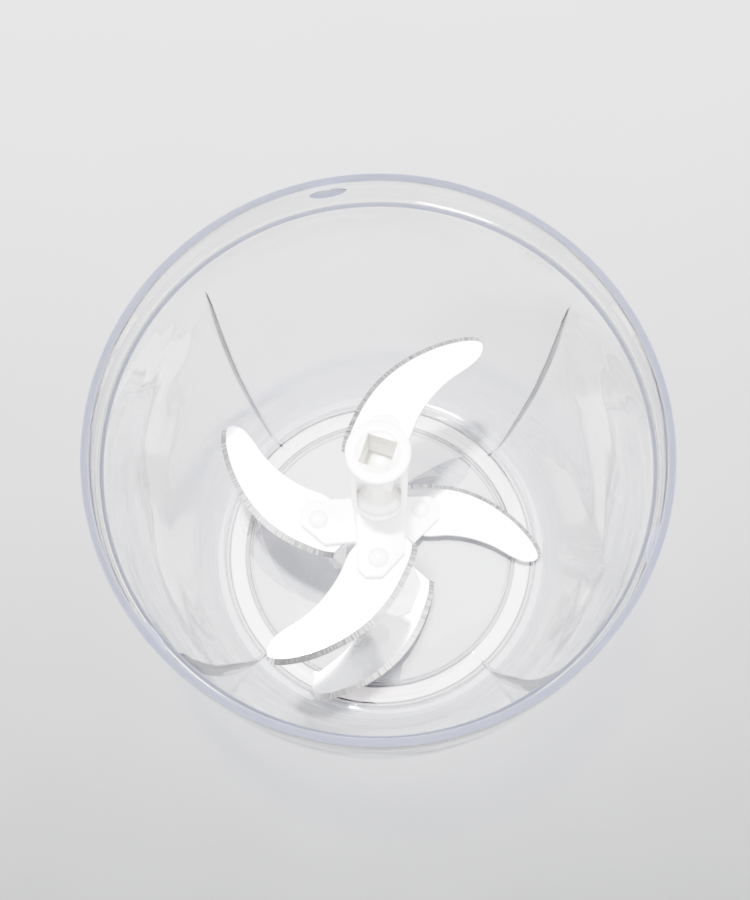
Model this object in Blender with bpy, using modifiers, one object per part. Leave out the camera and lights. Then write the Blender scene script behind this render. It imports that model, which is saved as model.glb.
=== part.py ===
"""Clear bowl of a small food chopper, with its five-blade cutting unit standing on the bowl's steel pin.

Metres, +Z up. The origin is the middle of the base, on the surface that the bowl stands on, and the
cutting unit turns about the Z axis.
"""
import math

import bmesh
import bpy
from mathutils import Matrix, Vector

NAME = "food_chopper_bowl"
# clearance between neighbouring parts, overlap of joined forms, and how far a cutter runs past a face
GAP = 0.0003
OVERLAP = 0.00025
OVERCUT = 0.001
MERGE_DISTANCE = 0.000001

# Bowl
RIM_HEIGHT = 0.1016
RIM_RADIUS = 0.0600
RIM_WALL = 0.0016
LEDGE_HEIGHT = 0.09185
LEDGE_RADIUS = 0.0569
COLLAR_BOTTOM = 0.0908
WALL = 0.0017
FLOOR = 0.0024
UNDERSIDE = 0.0009
FOOT = 0.0004
FLOOR_RADIUS = 0.0428
FLOOR_CORNER = 0.0018
HEEL = (0.0436, 0.0010)
FOOT_RADIUS = 0.0418
# inner wall, radius and height, from the corner of the floor up to the ledge
INNER_WALL = [(0.0448, 0.0046), (0.0477, 0.0100), (0.0509, 0.0200), (0.0543, 0.0350), (0.0564, 0.0550),
              (0.0569, 0.0750)]
# how far a rib stands in from the inner wall, at each height
RIB_DEPTH = [(0.0026, 0.0034), (0.0060, 0.0044), (0.0100, 0.0047), (0.0200, 0.0041), (0.0350, 0.0032),
             (0.0550, 0.0023), (0.0720, 0.0012), (0.0785, -0.0005)]
WALL_STATIONS = 8
RIB_WIDTH = 0.0012
RIB_FOOT_SHRINK = 0.93
RIB_COUNT = 4
RIB_AZIMUTH = math.radians(40.7)
LUG_COUNT = 3
LUG_AZIMUTH = math.radians(99.0)
LUG_HEIGHT = 0.0970
LUG_SIZE = (0.0024, 0.0078, 0.0030)
LUG_SINK = 0.0002
PIN_BOSS_RADIUS = 0.0078
CHAMFER = 0.0006
TURN_STEPS = 48
HUB_STEPS = 24
STUD_STEPS = 16

# Non-slip ring in the foot
SEAL_INNER = 0.0352
SEAL_OUTER = 0.0389
SEAL_HEIGHT = 0.0011

# Pin and bearing
PIN_RADIUS = 0.0025
PIN_BOTTOM = 0.0010
PIN_TOP = 0.0520
BUSH_INNER = PIN_RADIUS + GAP
BUSH_OUTER = 0.0036
BUSH_BOTTOM = 0.0034
BUSH_CAP = 0.0014

# Hub column
COLUMN_RADIUS = 0.0050
COLUMN_BOTTOM = 0.0030
BORE_RADIUS = BUSH_OUTER + GAP
HEAD_RADIUS = 0.0068
HEAD_TOP = 0.0967
HEAD_THICKNESS = 0.0013
SHOULDER_RADIUS = 0.00635
WINDOW_BOTTOM = 0.0665
WINDOW_HALF_WIDTH = 0.0049
WEB_THICKNESS = 0.0016
# the flared core behind the windows: radius and height, top to bottom
CORE_PROFILE = [(0.0026, 0.0954), (0.0028, 0.0840), (0.0034, 0.0740), (0.0045, 0.0690), (0.0059, 0.0663)]
SOCKET_SIDE = 0.0065
SOCKET_WALL = 0.0008
SOCKET_DEPTH = 0.0130
SOCKET_ANGLE = math.radians(-19.5)
SOCKET_MOUTH = 0.0047

# Blades, carriers and studs
BLADE_THICKNESS = 0.0012
BEVEL_WIDTH = 0.0014
EDGE_LAND = 0.0002
STUD_RADIUS = 0.0146
ARM_THICKNESS = 0.0018
CARRIER_OUTER = 0.0063
CARRIER_CORE = 0.0010
SHANK_RADIUS = 0.0017
DOME_RADIUS = 0.0027
DOME_HEIGHT = 0.0020
DOME_BRIM = 0.0002
DOME_STEPS = 5
TAIL_RADIUS = 0.0026
TAIL_HEIGHT = 0.0006
# heights of the blades' top faces
UPPER_LEVEL = 0.0600
MIDDLE_LEVEL = 0.0380
LOWER_LEVEL = 0.0100
BOTTOM_LEVEL = 0.0055
# name, height of the blade's top face, direction of its arm, sweep of the blade from the arm
BLADES = [
    ("1", UPPER_LEVEL, math.radians(88.0), math.radians(-47.0)),
    ("2", MIDDLE_LEVEL, math.radians(180.5), math.radians(-49.5)),
    ("3", BOTTOM_LEVEL, math.radians(42.0), math.radians(-66.5)),
    ("4", UPPER_LEVEL, math.radians(268.0), math.radians(-48.5)),
    ("5", LOWER_LEVEL, math.radians(290.0), math.radians(-64.5)),
]
# heights of the bottoms of the carriers' rings
UPPER_RING = 0.0560
MIDDLE_RING = 0.0343
LOWER_RING = 0.0079
BOTTOM_RING = 0.0033
# carriers: name, height of the blades that each holds, height of the bottom of its ring
CARRIERS = [
    ("upper_carrier", UPPER_LEVEL, UPPER_RING),
    ("middle_carrier", MIDDLE_LEVEL, MIDDLE_RING),
    ("lower_carrier", LOWER_LEVEL, LOWER_RING),
    ("bottom_carrier", BOTTOM_LEVEL, BOTTOM_RING),
]
# blade outline about its stud, with +X along the blade: the ground side and the back, root to tip
GROUND_SIDE = [(-0.0080, 0.0022), (-0.0050, 0.0044), (0.0020, 0.0074), (0.0090, 0.0088), (0.0160, 0.0085),
               (0.0230, 0.0067), (0.0285, 0.0041), (0.0314, 0.0019), (0.0325, 0.0004)]
BACK_SIDE = [(-0.0079, -0.0026), (-0.0020, -0.0056), (0.0034, -0.0056), (0.0090, -0.0031), (0.0145, -0.0016),
             (0.0205, -0.0012), (0.0262, -0.0019), (0.0296, -0.0019), (0.0318, -0.0009)]
BLADE_STATIONS = 21
# arm outline, out along the arm and across it: x, y, corner radius
ARM_OUTLINE = [(0.0, 0.0054, 0.0), (0.0132, 0.0060, 0.0010), (0.0188, 0.0009, 0.0009),
               (0.0189, -0.0028, 0.0010), (0.0170, -0.0048, 0.0012), (0.0, -0.0052, 0.0)]

PARTS = None
CUTTERS = None


def make_collection(name):
    collection = bpy.data.collections.new(name)
    bpy.context.scene.collection.children.link(collection)
    return collection


def make_material(name, colour, roughness, metallic, alpha=1.0):
    material = bpy.data.materials.new(name)
    material.use_nodes = True
    shader = material.node_tree.nodes["Principled BSDF"]
    shader.inputs["Base Color"].default_value = (*colour, 1.0)
    shader.inputs["Roughness"].default_value = roughness
    shader.inputs["Metallic"].default_value = metallic
    shader.inputs["Alpha"].default_value = alpha
    return material


def add_object(name, mesh, material=None):
    """Link a mesh as a part, or as a cutter where it has no material."""
    item = bpy.data.objects.new(name, mesh)
    if material is None:
        CUTTERS.objects.link(item)
        item.hide_render = True
        item.display_type = "WIRE"
    else:
        PARTS.objects.link(item)
        mesh.materials.append(material)
    return item


def mesh_from(name, build):
    """Make a mesh by running build on an empty bmesh."""
    bm = bmesh.new()
    build(bm)
    bmesh.ops.recalc_face_normals(bm, faces=bm.faces)
    mesh = bpy.data.meshes.new(name)
    bm.to_mesh(mesh)
    bm.free()
    return mesh


def smooth(item, angle=35.0):
    item.data.shade_smooth()
    item.data.set_sharp_from_angle(angle=math.radians(angle))


def add_boolean(item, operation, other):
    modifier = item.modifiers.new(f"{operation.lower()} {other.name}", "BOOLEAN")
    modifier.operation = operation
    modifier.object = other


def rounded(points, closed, steps=3):
    """Replace each corner (x, y, radius) by a short arc and return plain (x, y) points."""
    result = []
    count = len(points)
    for index, (x, y, radius) in enumerate(points):
        inner = closed or 0 < index < count - 1
        if radius <= 0.0 or not inner:
            result.append((x, y))
            continue
        corner = Vector((x, y))
        before = Vector(points[index - 1][:2]) - corner
        after = Vector(points[(index + 1) % count][:2]) - corner
        half = before.angle(after) / 2.0
        reach = min(radius / math.tan(half), before.length * 0.49, after.length * 0.49)
        start = corner + before.normalized() * reach
        end = corner + after.normalized() * reach
        for step in range(steps + 1):
            t = step / steps
            blend = start.lerp(corner, t).lerp(corner.lerp(end, t), t)
            result.append((blend.x, blend.y))
    return result


def sample_curve(points, count):
    """Points spaced evenly in parameter along a smooth curve through the given points."""
    result = []
    last = len(points) - 1
    for index in range(count):
        position = index * last / (count - 1)
        segment = min(int(position), last - 1)
        t = position - segment
        p0 = Vector(points[max(segment - 1, 0)])
        p1 = Vector(points[segment])
        p2 = Vector(points[segment + 1])
        p3 = Vector(points[min(segment + 2, last)])
        value = p1 * 2.0
        value += (p2 - p0) * t
        value += (p0 * 2.0 - p1 * 5.0 + p2 * 4.0 - p3) * t ** 2
        value += (p1 * 3.0 - p0 - p2 * 3.0 + p3) * t ** 3
        result.append(value * 0.5)
    return result


def interpolate(table, x):
    """Straight-line interpolation in a table of (x, value) pairs."""
    for (x0, y0), (x1, y1) in zip(table, table[1:]):
        if x <= x1:
            return y0 + (y1 - y0) * (x - x0) / (x1 - x0)
    return table[-1][1]


def turned(name, profile, material, closed, steps=TURN_STEPS):
    """Turn a profile of (radius, z) points about Z; it runs down its outer side, top to bottom."""
    mesh = bpy.data.meshes.new(name)
    last = len(profile) - 1
    edges = [(index, index + 1) for index in range(last)]
    if closed:
        edges.append((last, 0))
    mesh.from_pydata([(radius, 0.0, z) for radius, z in profile], edges, [])
    item = add_object(name, mesh, material)
    screw = item.modifiers.new("turn", "SCREW")
    screw.steps = steps
    screw.render_steps = steps
    screw.use_merge_vertices = True
    screw.merge_threshold = MERGE_DISTANCE
    screw.use_smooth_shade = True
    return item


def prism(name, outline, bottom, top):
    """A flat outline of (x, y) points made solid between two heights."""
    def build(bm):
        verts = [bm.verts.new((x, y, bottom)) for x, y in outline]
        face = bm.faces.new(verts)
        result = bmesh.ops.extrude_face_region(bm, geom=[face])
        moved = [part for part in result["geom"] if isinstance(part, bmesh.types.BMVert)]
        bmesh.ops.translate(bm, verts=moved, vec=(0.0, 0.0, top - bottom))
    return add_object(name, mesh_from(name, build))


def block(name, size, centre, angle=0.0):
    """A box of the given size, turned about Z by angle."""
    def build(bm):
        bmesh.ops.create_cube(bm, size=1.0)
        bmesh.ops.scale(bm, verts=bm.verts, vec=size)
        bmesh.ops.rotate(bm, verts=bm.verts, matrix=Matrix.Rotation(angle, 3, "Z"))
        bmesh.ops.translate(bm, verts=bm.verts, vec=centre)
    return add_object(name, mesh_from(name, build))


def round_bar(name, lower_radius, upper_radius, bottom, top, x=0.0, y=0.0, segments=HUB_STEPS):
    """A round cutter or filler, straight or tapered, standing on Z."""
    def build(bm):
        bmesh.ops.create_cone(bm, cap_ends=True, segments=segments, radius1=lower_radius,
                              radius2=upper_radius, depth=top - bottom)
        bmesh.ops.translate(bm, verts=bm.verts, vec=(x, y, (top + bottom) / 2.0))
    return add_object(name, mesh_from(name, build))


def wall_radius(z):
    """Inner radius of the bowl's wall at a height."""
    return interpolate([(height, radius) for radius, height in INNER_WALL], z)


def bowl_profile():
    """The bowl's section: up the inside from the pin's hole, over the rim and down to the foot's groove."""
    pin_hole = PIN_RADIUS + GAP
    hole_bottom = PIN_BOTTOM - GAP
    groove_in = SEAL_INNER - GAP
    groove_out = SEAL_OUTER + GAP
    groove_top = SEAL_HEIGHT + GAP
    rim_inner = RIM_RADIUS - RIM_WALL
    inner_wall = sample_curve([(radius, z, 0.0) for radius, z in INNER_WALL], WALL_STATIONS)
    corners = [(0.0, hole_bottom, 0.0), (pin_hole, hole_bottom, 0.0), (pin_hole, FLOOR, 0.0)]
    corners.append((FLOOR_RADIUS, FLOOR, FLOOR_CORNER))
    corners += [(point.x, point.y, 0.0) for point in inner_wall]
    corners += [(LEDGE_RADIUS, LEDGE_HEIGHT, CHAMFER), (rim_inner, LEDGE_HEIGHT, CHAMFER / 2)]
    corners += [(rim_inner, RIM_HEIGHT, CHAMFER), (RIM_RADIUS, RIM_HEIGHT, CHAMFER)]
    corners.append((RIM_RADIUS, COLLAR_BOTTOM, CHAMFER))
    corners.append((LEDGE_RADIUS + WALL, COLLAR_BOTTOM - 2 * CHAMFER, CHAMFER))
    corners += [(point.x + WALL, point.y, 0.0) for point in reversed(inner_wall)]
    corners += [(*HEEL, FLOOR_CORNER), (FOOT_RADIUS, FOOT, CHAMFER)]
    corners += [(groove_out + GAP, FOOT, 0.0), (groove_out, FOOT + GAP, 0.0), (groove_out, groove_top, 0.0)]
    corners += [(groove_in, groove_top, 0.0), (groove_in, FOOT, 0.0)]
    corners += [(groove_in - 2 * CHAMFER, FOOT, GAP), (groove_in - 3 * CHAMFER, UNDERSIDE, GAP)]
    corners += [(PIN_BOSS_RADIUS, UNDERSIDE, GAP), (PIN_BOSS_RADIUS - CHAMFER, FOOT, GAP), (0.0, FOOT, 0.0)]
    return rounded(corners, closed=False, steps=2)


def rib_mesh(azimuth):
    """A thin upright rib with a pointed section, rooted inside the bowl's wall and floor."""
    half_width = RIB_WIDTH / 2
    floor_corner = INNER_WALL[0][1]

    def build(bm):
        rings = []
        for z, depth in RIB_DEPTH:
            wall = wall_radius(max(z, floor_corner))
            shrink = 1.0 if z > floor_corner else RIB_FOOT_SHRINK
            outer = (wall + WALL / 2) * shrink
            inner = (wall - depth) * shrink
            middle = (outer + inner) / 2
            section = [(outer, -half_width), (middle, -half_width), (inner, 0.0), (middle, half_width),
                       (outer, half_width)]
            rings.append([bm.verts.new((x, y, z)) for x, y in section])
        for low, high in zip(rings, rings[1:]):
            for index in range(len(low)):
                following = (index + 1) % len(low)
                bm.faces.new((low[index], low[following], high[following], high[index]))
        bm.faces.new(rings[0])
        bm.faces.new(list(reversed(rings[-1])))
        bmesh.ops.rotate(bm, verts=bm.verts, matrix=Matrix.Rotation(azimuth, 3, "Z"))
    return mesh_from("rib", build)


def lug_mesh(azimuth):
    """A low lens-shaped locating lug on the inside of the rim."""
    def build(bm):
        bmesh.ops.create_uvsphere(bm, u_segments=12, v_segments=8, radius=0.5)
        bmesh.ops.scale(bm, verts=bm.verts, vec=LUG_SIZE)
        bmesh.ops.translate(bm, verts=bm.verts, vec=(RIM_RADIUS - RIM_WALL + LUG_SINK, 0.0, LUG_HEIGHT))
        bmesh.ops.rotate(bm, verts=bm.verts, matrix=Matrix.Rotation(azimuth, 3, "Z"))
    return mesh_from("lug", build)


def make_bowl(material):
    bowl = turned("bowl", bowl_profile(), material, closed=False)
    for index in range(RIB_COUNT):
        rib = add_object(f"rib_{index}", rib_mesh(RIB_AZIMUTH + index * math.tau / RIB_COUNT))
        add_boolean(bowl, "UNION", rib)
    for index in range(LUG_COUNT):
        lug = add_object(f"lug_{index}", lug_mesh(LUG_AZIMUTH + index * math.tau / LUG_COUNT))
        add_boolean(bowl, "UNION", lug)


def make_non_slip_ring(material):
    corners = [(SEAL_INNER, SEAL_HEIGHT, 0.0), (SEAL_OUTER, SEAL_HEIGHT, 0.0), (SEAL_OUTER, 0.0, 0.0004),
               (SEAL_INNER, 0.0, 0.0004)]
    turned("non_slip_ring", rounded(corners, closed=True, steps=1), material, closed=True)


def make_pin(material):
    corners = [(0.0, PIN_TOP, 0.0), (PIN_RADIUS, PIN_TOP, 0.0012), (PIN_RADIUS, PIN_BOTTOM, 0.0003),
               (0.0, PIN_BOTTOM, 0.0)]
    turned("pivot_pin", rounded(corners, closed=False), material, closed=False, steps=HUB_STEPS)


def make_bush(material):
    inside_top = PIN_TOP + GAP
    corners = [(0.0, inside_top + BUSH_CAP, 0.0), (BUSH_OUTER, inside_top + BUSH_CAP, 0.0006)]
    corners += [(BUSH_OUTER, BUSH_BOTTOM, 0.0002), (BUSH_INNER, BUSH_BOTTOM, 0.0002)]
    corners += [(BUSH_INNER, inside_top, 0.0), (0.0, inside_top, 0.0)]
    turned("hub_bush", rounded(corners, closed=False), material, closed=False, steps=HUB_STEPS)


def make_column(material):
    """The moulded hub: a bored column with a flat head, windows at front and back, and a square socket."""
    shoulder_bottom = arm_top(UPPER_LEVEL) + GAP
    bore_top = PIN_TOP + 2 * GAP + BUSH_CAP
    head_bottom = HEAD_TOP - HEAD_THICKNESS
    corners = [(0.0, HEAD_TOP, 0.0), (HEAD_RADIUS, HEAD_TOP, 0.0005), (HEAD_RADIUS, head_bottom, 0.0003)]
    corners += [(SHOULDER_RADIUS, head_bottom, 0.0), (SHOULDER_RADIUS, shoulder_bottom, 0.0)]
    corners += [(COLUMN_RADIUS, shoulder_bottom, 0.0), (COLUMN_RADIUS, COLUMN_BOTTOM, 0.0003)]
    corners += [(BORE_RADIUS, COLUMN_BOTTOM, 0.0002), (BORE_RADIUS, bore_top, 0.0), (0.0, bore_top, 0.0)]
    column = turned("hub_column", rounded(corners, closed=False, steps=2), material, closed=False,
                    steps=HUB_STEPS)

    window_top = head_bottom + OVERLAP
    window_depth = HEAD_RADIUS + OVERCUT
    for side in (-1, 1):
        size = (2 * WINDOW_HALF_WIDTH, window_depth, window_top - WINDOW_BOTTOM)
        centre = (0.0, side * (WEB_THICKNESS + window_depth) / 2, (window_top + WINDOW_BOTTOM) / 2)
        add_boolean(column, "DIFFERENCE", block(f"window_cut_{side}", size, centre))

    core_top = window_top + OVERLAP
    profile = [(0.0, core_top), (CORE_PROFILE[0][0], core_top)] + CORE_PROFILE[1:]
    profile.append((0.0, CORE_PROFILE[-1][1]))
    core = turned("core_form", profile, None, closed=False, steps=HUB_STEPS)
    add_boolean(column, "UNION", core)
    housing_side = SOCKET_SIDE + 2 * SOCKET_WALL
    housing_bottom = HEAD_TOP - SOCKET_DEPTH - SOCKET_WALL
    housing_top = core_top + OVERLAP
    housing = block("housing_form", (housing_side, housing_side, housing_top - housing_bottom),
                    (0.0, 0.0, (housing_top + housing_bottom) / 2), SOCKET_ANGLE)
    add_boolean(column, "UNION", housing)

    cut_height = SOCKET_DEPTH + OVERCUT
    socket = block("socket_cut", (SOCKET_SIDE, SOCKET_SIDE, cut_height),
                   (0.0, 0.0, HEAD_TOP - SOCKET_DEPTH + cut_height / 2), SOCKET_ANGLE)
    mouth = round_bar("mouth_cut", SOCKET_MOUTH - CHAMFER, SOCKET_MOUTH + CHAMFER, HEAD_TOP - CHAMFER,
                      HEAD_TOP + CHAMFER)
    add_boolean(column, "DIFFERENCE", socket)
    add_boolean(column, "DIFFERENCE", mouth)


def arm_top(blade_top):
    """Height of the top of the arm that lies on a blade."""
    return blade_top + GAP + ARM_THICKNESS


def stud_place(azimuth):
    return Vector((STUD_RADIUS * math.cos(azimuth), STUD_RADIUS * math.sin(azimuth), 0.0))


def make_carrier(name, level, ring_bottom, material):
    """A ring round the column with one arm for each of its blades, bored for the column and the studs."""
    arm_bottom = level + GAP
    top = arm_top(level)
    profile = [(CARRIER_CORE, top), (CARRIER_OUTER, top)]
    profile += [(CARRIER_OUTER, ring_bottom), (CARRIER_CORE, ring_bottom)]
    carrier = turned(name, profile, material, closed=True, steps=HUB_STEPS)
    outline = rounded(ARM_OUTLINE, closed=True)
    directions = [azimuth for _, blade_top, azimuth, _ in BLADES if blade_top == level]
    for index, azimuth in enumerate(directions):
        turn = Matrix.Rotation(azimuth, 2)
        arm = prism(f"{name}_arm_{index}", [turn @ Vector(point) for point in outline], arm_bottom, top)
        add_boolean(carrier, "UNION", arm)
    bore_radius = COLUMN_RADIUS + GAP
    bore = round_bar(f"{name}_bore", bore_radius, bore_radius, ring_bottom - OVERCUT, top + OVERCUT)
    add_boolean(carrier, "DIFFERENCE", bore)
    hole_radius = SHANK_RADIUS + GAP
    for index, azimuth in enumerate(directions):
        place = stud_place(azimuth)
        hole = round_bar(f"{name}_hole_{index}", hole_radius, hole_radius, arm_bottom - OVERCUT, top + OVERCUT,
                         place.x, place.y, segments=STUD_STEPS)
        add_boolean(carrier, "DIFFERENCE", hole)


def make_spacer(name, carrier_below, carrier_above, material):
    """A sleeve round the column that fills the space between two carriers."""
    inner = COLUMN_RADIUS + GAP
    outer = CARRIER_OUTER - GAP
    bottom = carrier_below + GAP
    top = carrier_above - GAP
    turned(name, [(inner, top), (outer, top), (outer, bottom), (inner, bottom)], material, closed=True,
           steps=HUB_STEPS)


def blade_mesh():
    """A flat swept blade about its stud, ground along its leading edge, with its top face at z = 0."""
    ground = sample_curve([(x, y, 0.0) for x, y in GROUND_SIDE], BLADE_STATIONS)
    back = sample_curve([(x, y, 0.0) for x, y in BACK_SIDE], BLADE_STATIONS)
    edge = []
    for index, point in enumerate(ground):
        before = ground[max(index - 1, 0)]
        after = ground[min(index + 1, BLADE_STATIONS - 1)]
        along = (after - before).normalized()
        across = Vector((-along.y, along.x, 0.0))
        fade = min(1.0, (BLADE_STATIONS - 1 - index) / 2)
        edge.append(point + across * BEVEL_WIDTH * fade)

    def build(bm):
        rows = []
        for line, z in ((back, 0.0), (ground, 0.0), (edge, EDGE_LAND - BLADE_THICKNESS),
                        (edge, -BLADE_THICKNESS), (back, -BLADE_THICKNESS)):
            rows.append([bm.verts.new((point.x, point.y, z)) for point in line])
        for first, second in zip(rows, rows[1:] + rows[:1]):
            for station in range(BLADE_STATIONS - 1):
                bm.faces.new((first[station], first[station + 1], second[station + 1], second[station]))
        bm.faces.new([row[0] for row in rows])
        bm.faces.new([row[-1] for row in reversed(rows)])
        bmesh.ops.remove_doubles(bm, verts=bm.verts, dist=MERGE_DISTANCE)
    return mesh_from("blade", build)


def make_blade(blade, material):
    blade_name, top, azimuth, sweep = blade
    place = stud_place(azimuth)
    item = add_object(f"blade_{blade_name}", blade_mesh(), material)
    item.location = (place.x, place.y, top)
    item.rotation_euler = (0.0, 0.0, azimuth + sweep)
    hole_radius = SHANK_RADIUS + GAP
    hole = round_bar(f"blade_hole_{blade_name}", hole_radius, hole_radius, top - BLADE_THICKNESS - OVERCUT,
                     top + OVERCUT, place.x, place.y, segments=STUD_STEPS)
    add_boolean(item, "DIFFERENCE", hole)


def make_stud(blade, material):
    """A plastic stud with a domed head above the arm and a flat tail below the blade."""
    blade_name, top, azimuth, _ = blade
    head_bottom = arm_top(top) + GAP
    dome_bottom = head_bottom + DOME_BRIM
    tail_top = top - BLADE_THICKNESS - GAP
    profile = [(0.0, dome_bottom + DOME_HEIGHT)]
    for step in range(1, DOME_STEPS + 1):
        angle = math.pi / 2 * (1 - step / DOME_STEPS)
        profile.append((DOME_RADIUS * math.cos(angle), dome_bottom + DOME_HEIGHT * math.sin(angle)))
    profile += [(DOME_RADIUS, head_bottom), (SHANK_RADIUS, head_bottom), (SHANK_RADIUS, tail_top)]
    profile += [(TAIL_RADIUS, tail_top), (TAIL_RADIUS, tail_top - TAIL_HEIGHT), (0.0, tail_top - TAIL_HEIGHT)]
    stud = turned(f"blade_stud_{blade_name}", profile, material, closed=False, steps=STUD_STEPS)
    stud.location = stud_place(azimuth)


def finish_shading():
    for item in PARTS.objects:
        if not any(modifier.type == "SCREW" for modifier in item.modifiers):
            smooth(item)


def main():
    global PARTS, CUTTERS
    for item in list(bpy.data.objects):
        bpy.data.objects.remove(item, do_unlink=True)
    PARTS = make_collection(NAME)
    CUTTERS = make_collection("cutters")
    clear = make_material("clear_plastic", (0.93, 0.94, 0.98), 0.05, 0.0, 0.3)
    white = make_material("white_plastic", (0.90, 0.90, 0.90), 0.30, 0.0)
    steel = make_material("polished_steel", (0.80, 0.80, 0.82), 0.18, 1.0)
    silicone = make_material("pale_silicone", (0.86, 0.83, 0.80), 0.55, 0.0)
    nylon = make_material("bearing_nylon", (0.88, 0.87, 0.83), 0.45, 0.0)
    make_bowl(clear)
    make_non_slip_ring(silicone)
    make_pin(steel)
    make_bush(nylon)
    make_column(white)
    for name, level, ring_bottom in CARRIERS:
        make_carrier(name, level, ring_bottom, white)
    make_spacer("lower_spacer", arm_top(LOWER_LEVEL), MIDDLE_RING, white)
    make_spacer("upper_spacer", arm_top(MIDDLE_LEVEL), UPPER_RING, white)
    for blade in BLADES:
        make_blade(blade, steel)
        make_stud(blade, white)
    finish_shading()


main()
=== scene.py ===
"""Looks for the clear chopper bowl and its cutting unit. Metres, +Z up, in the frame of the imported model."""
import math

import bmesh
import bpy
from mathutils import Matrix, Vector


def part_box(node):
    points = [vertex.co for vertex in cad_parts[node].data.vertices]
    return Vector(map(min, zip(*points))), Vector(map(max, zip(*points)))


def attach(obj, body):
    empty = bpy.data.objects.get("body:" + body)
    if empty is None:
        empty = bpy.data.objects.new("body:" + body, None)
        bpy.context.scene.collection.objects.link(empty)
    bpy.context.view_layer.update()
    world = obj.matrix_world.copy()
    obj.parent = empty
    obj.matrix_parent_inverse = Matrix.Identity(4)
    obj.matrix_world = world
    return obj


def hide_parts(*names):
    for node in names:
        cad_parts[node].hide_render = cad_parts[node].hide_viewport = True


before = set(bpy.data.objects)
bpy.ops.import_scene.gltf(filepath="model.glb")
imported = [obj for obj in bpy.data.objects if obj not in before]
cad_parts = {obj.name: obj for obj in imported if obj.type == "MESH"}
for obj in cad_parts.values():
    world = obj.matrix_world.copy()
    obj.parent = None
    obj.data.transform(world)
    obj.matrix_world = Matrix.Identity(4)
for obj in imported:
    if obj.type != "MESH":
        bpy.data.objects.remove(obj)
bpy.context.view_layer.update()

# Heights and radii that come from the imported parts
BOWL_LOW, BOWL_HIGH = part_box("bowl")
SEAL_LOW, SEAL_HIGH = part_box("non_slip_ring")
PIN_LOW, PIN_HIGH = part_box("pivot_pin")
COLUMN_LOW, COLUMN_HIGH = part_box("hub_column")
RIM_RADIUS = BOWL_HIGH.x
RIM_HEIGHT = BOWL_HIGH.z
FOOT = BOWL_LOW.z
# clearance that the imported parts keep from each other
GAP = 0.0003
# faces that meet at more than this many degrees keep a hard edge
SHARP_ANGLE = 35.0

# Non-slip ring, and the channel in its underside (half its width at the top and at the bottom)
SEAL_INNER = 0.0352
CHANNEL_DEPTH = 0.0003
CHANNEL_HALF_WIDTHS = (0.0004, 0.0007)

# Bowl
RIM_WALL = 0.0016
RIM_INNER = RIM_RADIUS - RIM_WALL
LEDGE_HEIGHT = 0.09185
LEDGE_RADIUS = 0.0569
COLLAR_BOTTOM = 0.0908
COLLAR_SLOPE = 0.0012
WALL = 0.0017
FLOOR = 0.0024
UNDERSIDE = 0.0009
FLOOR_RADIUS = 0.0428
FLOOR_CORNER = 0.0024
HEEL = (0.0436, 0.0010)
FOOT_RADIUS = 0.0418
FOOT_WIDTH = 0.0012
BOSS_RADIUS = 0.0072
UNDERSIDE_SLOPE = 0.0006
# low ridges in the floor on both sides of the ring
BEADS = (SEAL_INNER - 0.0010, SEAL_HIGH.x + 0.0013)
BEAD_HALF_WIDTH = 0.00036
BEAD_HEIGHT = 0.00034
# extra rings of points on the flat floor, and between the wall and the ledge
FLOOR_RINGS = (0.012, 0.024)
NECK_RINGS = (0.0790, 0.0850)
# radii of the painted dark lines on both sides of the ring, which are painted shade at the groove edges and
# the ridges, and how far from its middle a line has faded out
RING_SHADE_LINES = (SEAL_INNER - GAP, SEAL_INNER - 0.0011, SEAL_HIGH.x + GAP, SEAL_HIGH.x + 0.0013)
LINE_REACH = 0.00022
# (radius, height) points up the inside of the wall
INNER_WALL = [(0.0448, 0.0046), (0.0477, 0.0100), (0.0509, 0.0200), (0.0543, 0.0350), (0.0564, 0.0550),
              (0.0569, 0.0750)]
WALL_STATIONS = 64
# ribs: (height, how far one stands in from the wall) and (height, share of its full width there)
RIB_DEPTH = [(0.0046, 0.0040), (0.0060, 0.0044), (0.0100, 0.0047), (0.0200, 0.0041), (0.0350, 0.0032),
             (0.0550, 0.0023), (0.0720, 0.0012), (0.0785, 0.0)]
RIB_SLIMMING = [(0.006, 0.6), (0.025, 0.95), (0.045, 0.85), (0.0785, 0.35)]
RIB_START = 0.0385
RIB_AZIMUTHS = [math.radians(40.7 + 90.0 * index) for index in range(4)]
# across a rib: offset from its middle plane, and how far up the rib the surface stands there
RIB_SECTION = [(-0.00095, 0.0), (-0.00064, 0.0), (-0.00060, 0.22), (-0.00053, 0.60), (-0.00038, 0.85),
               (-0.00018, 0.97), (0.0, 1.0), (0.00018, 0.97), (0.00038, 0.85), (0.00053, 0.60),
               (0.00060, 0.22), (0.00064, 0.0), (0.00095, 0.0)]
# lugs: small lenses inside the rim, given by half their width and height and by how far they stand in
LUG_AZIMUTHS = [math.radians(99.0 + 120.0 * index) for index in range(3)]
LUG_HEIGHT = 0.0970
LUG_HALF = (0.0042, 0.0017)
LUG_DEPTH = 0.0010
LUG_ROUNDNESS = 0.7
LUG_RING_STEP = 0.00025
LUG_RINGS = 17
# directions in which the bowl has points: every 1.8 degrees, closer at a lug, and its own set at a rib
COLUMN_STEP = math.radians(1.8)
LUG_COLUMN_DEGREES = 0.4
LUG_COLUMNS = 23
RIB_CLEARANCE = math.radians(1.9)
NEAREST_COLUMNS = math.radians(0.15)

# Pin and hub
PIN_TIP_ROUND = 0.0014
HUB_STEPS = 72
HUB_EDGE_BEVEL = 0.00014
FORM_OVERLAP = 0.00025
CUT_MARGIN = 0.001
COLUMN_RADIUS = 0.0050
BORE_RADIUS = 0.0039
HEAD_THICKNESS = 0.0013
SHOULDER_RADIUS = 0.00635
SHOULDER_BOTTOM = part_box("upper_carrier")[1].z + GAP
WINDOW_BOTTOM = 0.0665
WINDOW_HALF_WIDTH = 0.0049
WEB_THICKNESS = 0.0016
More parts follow.
